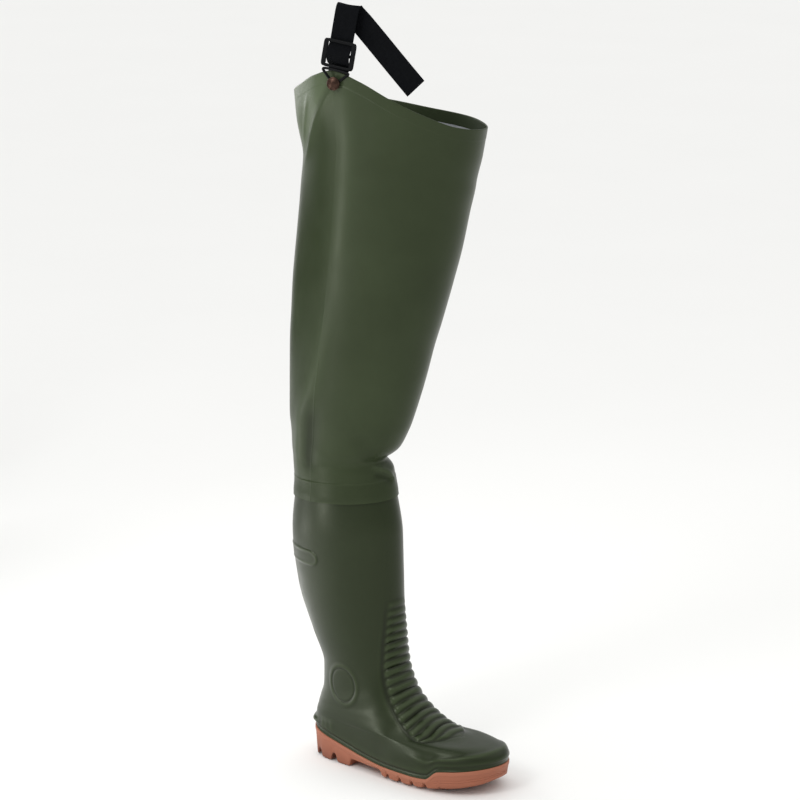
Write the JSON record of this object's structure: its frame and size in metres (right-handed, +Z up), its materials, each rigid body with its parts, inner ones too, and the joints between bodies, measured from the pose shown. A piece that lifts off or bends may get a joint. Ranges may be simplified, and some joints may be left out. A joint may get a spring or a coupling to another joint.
{
  "type": "thigh wader boot",
  "caption": "Right thigh wader: moulded green PVC boot with ribbed instep and cup sole, welded coated-fabric thigh leg, webbing strap with slide and button at the collar.",
  "frame": {"origin": "on the floor under the heel, on the middle heel lug", "axes": "+X to the toe, +Y to the inner side of the foot, +Z up the leg"},
  "size_m": [0.3331, 0.2045, 1.0237],
  "materials": {
    "sole": "matt moulded PVC",
    "boot": "satin moulded PVC",
    "leg": "satin PVC coating on cloth",
    "footbed": "grey felt",
    "webbing": "woven polyamide webbing",
    "slide": "black lacquered steel",
    "button": "antique copper",
    "rivet": "nickel plated"
  },
  "bodies": {
    "root": {"outsole": "sole", "boot": "boot", "shaft": "leg", "insole": "footbed", "strap": "webbing", "slide_buckle": "slide", "button_loop": "slide", "button": "button", "rivet_cap": "rivet"}
  },
  "joints": []
}
